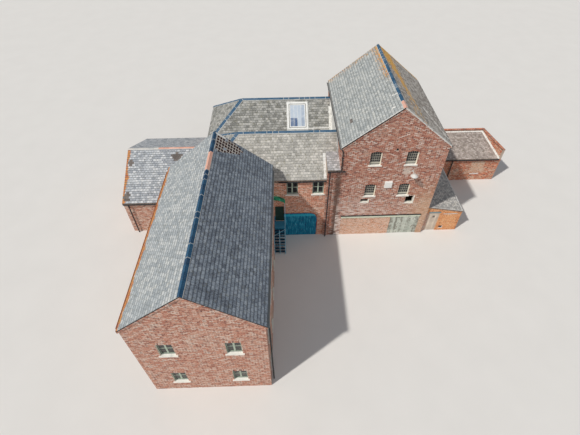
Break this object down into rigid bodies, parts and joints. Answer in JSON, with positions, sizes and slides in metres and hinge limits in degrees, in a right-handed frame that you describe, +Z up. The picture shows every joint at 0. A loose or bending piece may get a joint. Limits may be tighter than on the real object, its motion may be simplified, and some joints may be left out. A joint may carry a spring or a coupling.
{
  "type": "tannery building",
  "caption": "Old brick tannery building: a tall gabled block, a twin-roofed link, a long slated wing, an annex, an outbuilding and a lean-to with a hinged door.",
  "frame": {"origin": "on the ground, in the middle of the foot of the tall block's south gable wall", "axes": "+X east along the front, +Y north into the building, +Z up"},
  "size_m": [34.8905, 24.445, 12.6483],
  "materials": {
    "brick": "red-brown stock brick in lime mortar, weathered and patched",
    "old_brick": "orange brick infill",
    "slate": "grey slates with lichen",
    "clay_tile": "blue-black clay ridge tiles",
    "window_timber": "weathered painted timber",
    "window_glass": "old glass, dark from outside",
    "sill_stone": "painted stone sills",
    "beam_paint": "pale green painted beam under dark flashing",
    "boarding": "peeling grey-white boards",
    "door_timber": "grey weathered ledged door",
    "floor_timber": "boarded floors",
    "floor_concrete": "concrete ground slabs",
    "rainwater_iron": "black gutters and pipes",
    "porch_steel": "blue-green painted steel",
    "porch_canopy": "green corrugated plastic sheet",
    "porch_door": "dark green painted door",
    "cabinet_paint": "white cabinet",
    "lamp_paint": "dark lamp",
    "skylight_paint": "white skylight frame"
  },
  "bodies": {
    "building": {"annex_roof": "slate", "annex_walls": "brick", "block_east_wall": "brick", "block_gable_wall": "brick", "block_rear_wall": "brick", "block_roof": "slate", "block_west_wall": "brick", "cart_opening_boarding": "boarding", "cart_opening_brick_infill": "old_brick", "downpipes": "rainwater_iron", "gable_cabinet": "cabinet_paint", "gable_lamp": "lamp_paint", "gable_lintel": "beam_paint", "ground_floors": "floor_concrete", "gutters": "rainwater_iron", "leanto_door_frame": "window_timber", "leanto_door_lintel": "old_brick", "leanto_east_wall": "old_brick", "leanto_front_wall": "old_brick", "leanto_roof": "slate", "leanto_west_pier": "old_brick", "link_front_roof": "slate", "link_front_wall": "brick", "link_rear_roof": "slate", "link_rear_wall": "brick", "link_west_wall": "brick", "outbuilding_coping": "old_brick", "outbuilding_roof": "slate", "outbuilding_walls": "brick", "porch_canopy": "porch_canopy", "porch_door": "porch_door", "porch_guard_rails": "porch_steel", "porch_landing": "porch_steel", "porch_stair": "porch_steel", "raised_bay_roof": "slate", "raised_bay_walls": "brick", "ridge_tiles": "clay_tile", "skylight_frame": "skylight_paint", "skylight_glass": "window_glass", "upper_floors": "floor_timber", "window_frames": "window_timber", "window_glass": "window_glass", "window_sills": "sill_stone", "wing_east_wall": "brick", "wing_gable_wall": "brick", "wing_north_wall": "brick", "wing_roof": "slate", "wing_west_wall": "brick"},
    "leanto_door": {"leanto_door": "door_timber"}
  },
  "joints": [
    {"name": "leanto_door_hinge", "type": "hinge", "parent": "building", "child": "leanto_door", "pos_m": [4.348, 0.047, 0], "axis": [0, 0, -1], "range_deg": [0, 105]}
  ]
}
